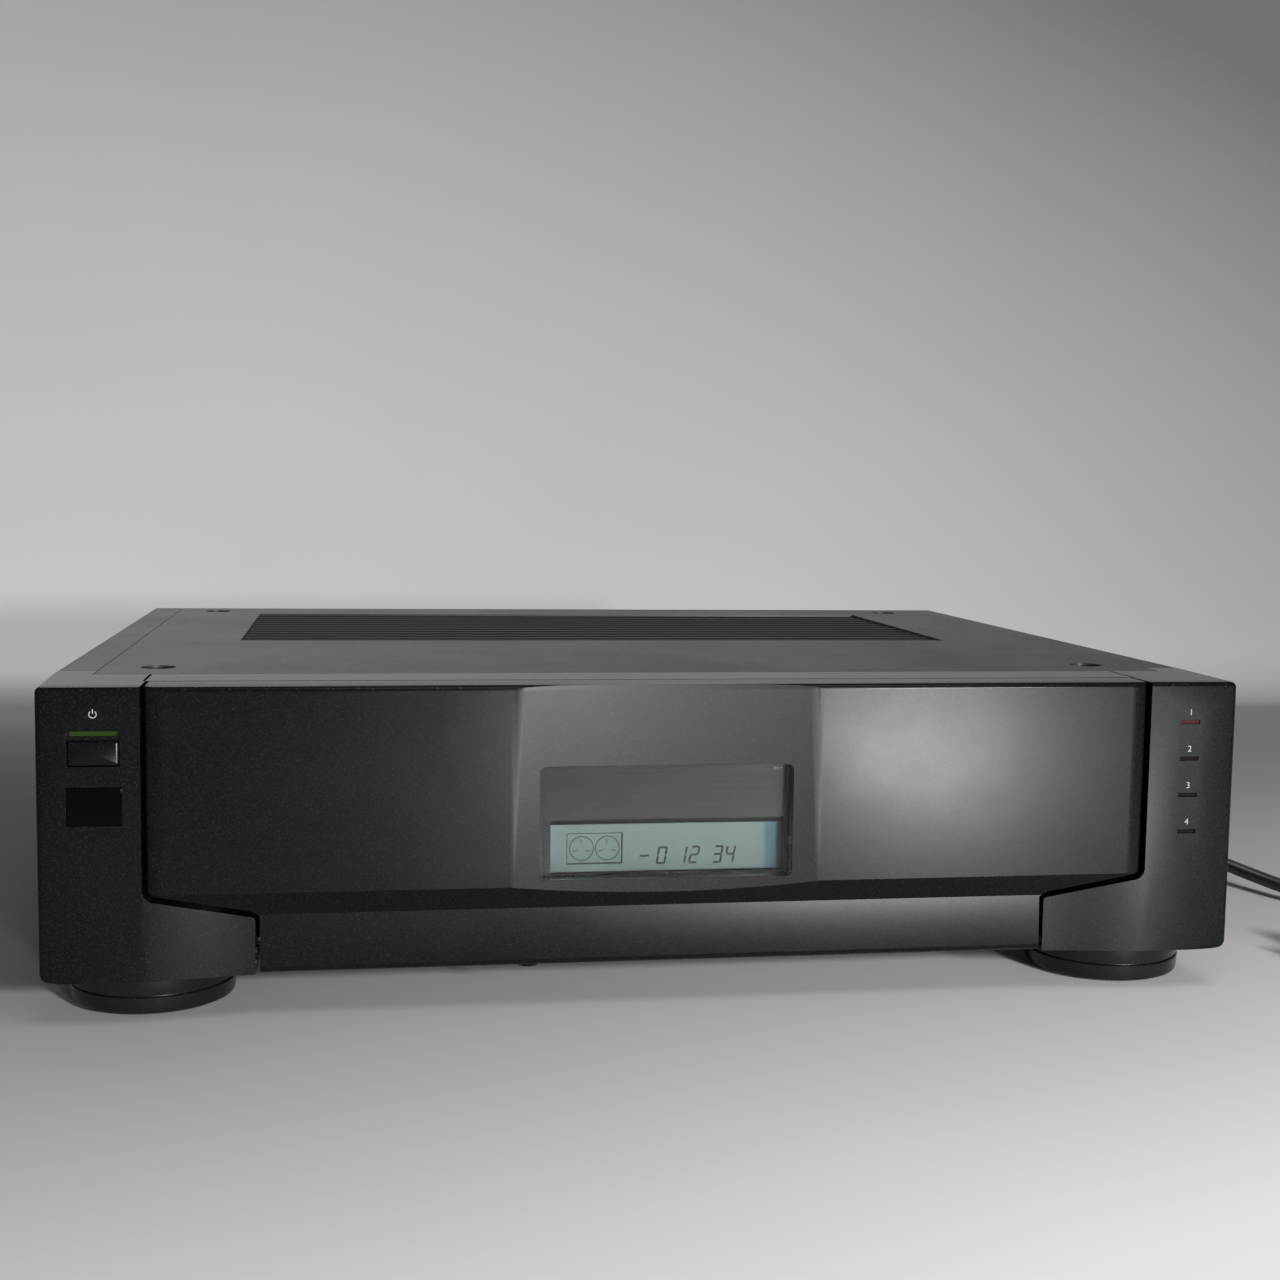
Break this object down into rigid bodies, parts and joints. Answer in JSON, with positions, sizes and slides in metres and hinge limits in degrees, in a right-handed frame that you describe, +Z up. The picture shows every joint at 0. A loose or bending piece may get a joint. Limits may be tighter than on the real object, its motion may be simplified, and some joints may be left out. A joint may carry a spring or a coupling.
{
  "type": "video cassette recorder",
  "caption": "Full-width video cassette recorder with a drop-down front door over its controls, a display window in the door, round feet and a mains cord.",
  "frame": {"origin": "on the surface it stands on, under the middle of the machine's box without its mains cord", "axes": "+X to the right seen from the front, +Y to the back, +Z up"},
  "size_m": [0.6123, 0.4326, 0.115],
  "materials": {
    "chassis_steel": "zinc-plated sheet steel, dull",
    "body_paint": "satin black paint on sheet steel, fine texture",
    "bezel_black": "satin black moulded plastic, fine texture",
    "inner_black": "dull black moulded plastic",
    "foot_plastic": "glossy black moulded plastic",
    "rubber_black": "black rubber",
    "screw_black": "blackened steel",
    "lens_green": "translucent green plastic",
    "lens_infrared": "very dark red translucent plastic",
    "lens_red": "dark red translucent plastic",
    "board_green": "glass-fibre circuit board with green lacquer",
    "board_brown": "paper-based circuit board, brown",
    "core_steel": "varnished transformer laminations",
    "tin_plate": "tin-plated sheet steel",
    "socket_black": "black plastic with metal barrels",
    "cord_black": "black vinyl sheath, satin",
    "plug_brass": "plain brass",
    "drum_aluminium": "turned aluminium, polished",
    "motor_steel": "steel can",
    "head_steel": "steel",
    "door_metallic": "charcoal metallic lacquer with fine flake, satin; black rounded top edge",
    "window_clear": "clear moulded acrylic lens, tinted",
    "plate_brushed": "dark brushed plate, lines along X",
    "lcd_glass": "liquid crystal display, pale green, in a black frame",
    "pin_steel": "steel pin",
    "reel_plastic": "off-white moulded plastic",
    "gear_plastic": "natural acetal",
    "worm_brass": "turned brass",
    "power_black": "semi-gloss black plastic",
    "dial_grey": "dark grey, semi-gloss",
    "key_grey": "dark grey moulded plastic",
    "key_red": "dark red moulded plastic"
  },
  "bodies": {
    "casing": {"bottom_chassis": "chassis_steel", "rear_panel": "chassis_steel", "side_panel_left": "body_paint", "side_panel_right": "body_paint", "top_cover": "body_paint", "front_bezel": "bezel_black", "front_frame": "inner_black", "feet": "foot_plastic", "foot_pads": "rubber_black", "case_screws": "screw_black", "power_lamp_lens": "lens_green", "remote_window": "lens_infrared", "status_lamp_lenses": "lens_red", "main_board": "board_green", "front_board": "board_green", "power_supply_board": "board_brown", "transformer": "core_steel", "tuner_can": "tin_plate", "rear_jacks": "socket_black", "cord_grommet": "rubber_black", "power_cord": "cord_black", "cord_coil": "cord_black", "cord_plug": "cord_black", "plug_blades": "plug_brass", "deck_plate": "chassis_steel", "lower_drum": "drum_aluminium", "loading_motor": "motor_steel", "erase_head": "head_steel", "audio_head": "head_steel", "carriage_frame": "tin_plate"},
    "door": {"front_door": "door_metallic", "door_inner_cover": "inner_black", "window_lens": "window_clear", "window_plate": "plate_brushed", "lcd_module": "lcd_glass", "door_pins": "pin_steel"},
    "upper_drum": {"upper_drum": "drum_aluminium"},
    "capstan": {"capstan": "head_steel"},
    "supply_reel_table": {"supply_reel_table": "reel_plastic"},
    "takeup_reel_table": {"takeup_reel_table": "reel_plastic"},
    "pinch_arm": {"pinch_arm": "tin_plate"},
    "pinch_roller": {"pinch_roller": "rubber_black"},
    "tension_arm": {"tension_arm": "tin_plate"},
    "supply_guide_post": {"supply_guide_post": "head_steel"},
    "takeup_guide_post": {"takeup_guide_post": "head_steel"},
    "cam_gear": {"cam_gear": "gear_plastic"},
    "worm": {"worm": "worm_brass"},
    "cassette_carriage": {"cassette_carriage": "tin_plate"},
    "cassette_basket": {"cassette_basket": "tin_plate"},
    "slot_flap": {"slot_flap": "inner_black"},
    "power_button": {"power_button": "power_black"},
    "jog_dial": {"jog_dial": "dial_grey"},
    "shuttle_ring": {"shuttle_ring": "dial_grey"},
    "rewind_button": {"rewind_button": "key_grey"},
    "play_button": {"play_button": "key_grey"},
    "forward_button": {"forward_button": "key_grey"},
    "stop_button": {"stop_button": "key_grey"},
    "pause_button": {"pause_button": "key_grey"},
    "record_button": {"record_button": "key_red"},
    "eject_button": {"eject_button": "key_grey"}
  },
  "joints": [
    {"name": "door_hinge", "type": "hinge", "parent": "casing", "child": "door", "pos_m": [0, -0.172, 0.022], "axis": [1, 0, 0], "range_deg": [0, 90]},
    {"name": "drum_spin", "type": "hinge", "parent": "casing", "child": "upper_drum", "pos_m": [0, 0.0435, 0.0374], "axis": [0, 0.0872, 0.9962], "continuous": true},
    {"name": "capstan_spin", "type": "hinge", "parent": "casing", "child": "capstan", "pos_m": [0.076, 0.0165, 0.04], "axis": [0, 0, 1], "continuous": true},
    {"name": "supply_reel_spin", "type": "hinge", "parent": "casing", "child": "supply_reel_table", "pos_m": [-0.0465, -0.0505, 0.044], "axis": [0, 0, 1], "continuous": true},
    {"name": "takeup_reel_spin", "type": "hinge", "parent": "casing", "child": "takeup_reel_table", "pos_m": [0.0465, -0.0505, 0.044], "axis": [0, 0, 1], "continuous": true},
    {"name": "pinch_arm_swing", "type": "hinge", "parent": "casing", "child": "pinch_arm", "pos_m": [0.098, 0.0325, 0.044], "axis": [0, 0, 1], "range_deg": [0, 35], "stiffness_Nm_per_rad": 0.01, "springref_deg": -5.73},
    {"name": "pinch_roller_spin", "type": "hinge", "parent": "pinch_arm", "child": "pinch_roller", "pos_m": [0.07643, 0.04006, 0.052], "axis": [0, 0, 1], "continuous": true},
    {"name": "tension_arm_swing", "type": "hinge", "parent": "casing", "child": "tension_arm", "pos_m": [-0.088, 0.0185, 0.044], "axis": [0, 0, 1], "range_deg": [0, 32], "stiffness_Nm_per_rad": 0.005, "springref_deg": -5.73},
    {"name": "cam_turn", "type": "hinge", "parent": "casing", "child": "cam_gear", "pos_m": [-0.06, 0.0545, 0.027], "axis": [0, 0, 1], "range_deg": [0, 270]},
    {"name": "worm_turn", "type": "hinge", "parent": "casing", "child": "worm", "pos_m": [-0.0803, 0.0545, 0.027], "axis": [0, 1, 0], "range_deg": [0, 8101]},
    {"name": "takeup_guide_slide", "type": "slide", "parent": "casing", "child": "takeup_guide_post", "axis": [-0.251, 0.968, 0], "range_m": [0, 0.0553]},
    {"name": "supply_guide_slide", "type": "slide", "parent": "casing", "child": "supply_guide_post", "axis": [0.251, 0.968, 0], "range_m": [0, 0.0553]},
    {"name": "carriage_slide", "type": "slide", "parent": "casing", "child": "cassette_carriage", "axis": [0, 1, 0], "range_m": [0, 0.06]},
    {"name": "basket_lift", "type": "slide", "parent": "cassette_carriage", "child": "cassette_basket", "axis": [0, 0, -1], "range_m": [0, 0.027]},
    {"name": "flap_swing", "type": "hinge", "parent": "casing", "child": "slot_flap", "pos_m": [0, -0.158, 0.101], "axis": [1, 0, 0], "range_deg": [0, 88], "stiffness_Nm_per_rad": 0.002, "springref_deg": -11.46},
    {"name": "power_press", "type": "slide", "parent": "casing", "child": "power_button", "axis": [0, 1, 0], "range_m": [0, 0.0015], "stiffness_N_per_m": 400, "springref_m": -0.001},
    {"name": "dial_turn", "type": "hinge", "parent": "casing", "child": "jog_dial", "pos_m": [0.1373, -0.1595, 0.074], "axis": [0, 1, 0], "continuous": true},
    {"name": "shuttle_turn", "type": "hinge", "parent": "casing", "child": "shuttle_ring", "pos_m": [0.1373, -0.1575, 0.074], "axis": [0, 1, 0], "range_deg": [-75, 75], "stiffness_Nm_per_rad": 0.02},
    {"name": "rewind_press", "type": "slide", "parent": "casing", "child": "rewind_button", "axis": [0, 1, 0], "range_m": [0, 0.0012], "stiffness_N_per_m": 300, "springref_m": -0.001},
    {"name": "play_press", "type": "slide", "parent": "casing", "child": "play_button", "axis": [0, 1, 0], "range_m": [0, 0.0012], "stiffness_N_per_m": 300, "springref_m": -0.001},
    {"name": "forward_press", "type": "slide", "parent": "casing", "child": "forward_button", "axis": [0, 1, 0], "range_m": [0, 0.0012], "stiffness_N_per_m": 300, "springref_m": -0.001},
    {"name": "stop_press", "type": "slide", "parent": "casing", "child": "stop_button", "axis": [0, 1, 0], "range_m": [0, 0.0012], "stiffness_N_per_m": 300, "springref_m": -0.001},
    {"name": "pause_press", "type": "slide", "parent": "casing", "child": "pause_button", "axis": [0, 1, 0], "range_m": [0, 0.0012], "stiffness_N_per_m": 300, "springref_m": -0.001},
    {"name": "record_press", "type": "slide", "parent": "casing", "child": "record_button", "axis": [0, 1, 0], "range_m": [0, 0.0012], "stiffness_N_per_m": 300, "springref_m": -0.001},
    {"name": "eject_press", "type": "slide", "parent": "casing", "child": "eject_button", "axis": [0, 1, 0], "range_m": [0, 0.0012], "stiffness_N_per_m": 300, "springref_m": -0.001}
  ],
  "couplings": [
    {"joint": "worm_turn", "follows": "cam_turn", "ratio": 30},
    {"joint": "takeup_guide_slide", "follows": "cam_turn", "m_per_rad": 0.0117},
    {"joint": "supply_guide_slide", "follows": "cam_turn", "m_per_rad": 0.0117}
  ]
}
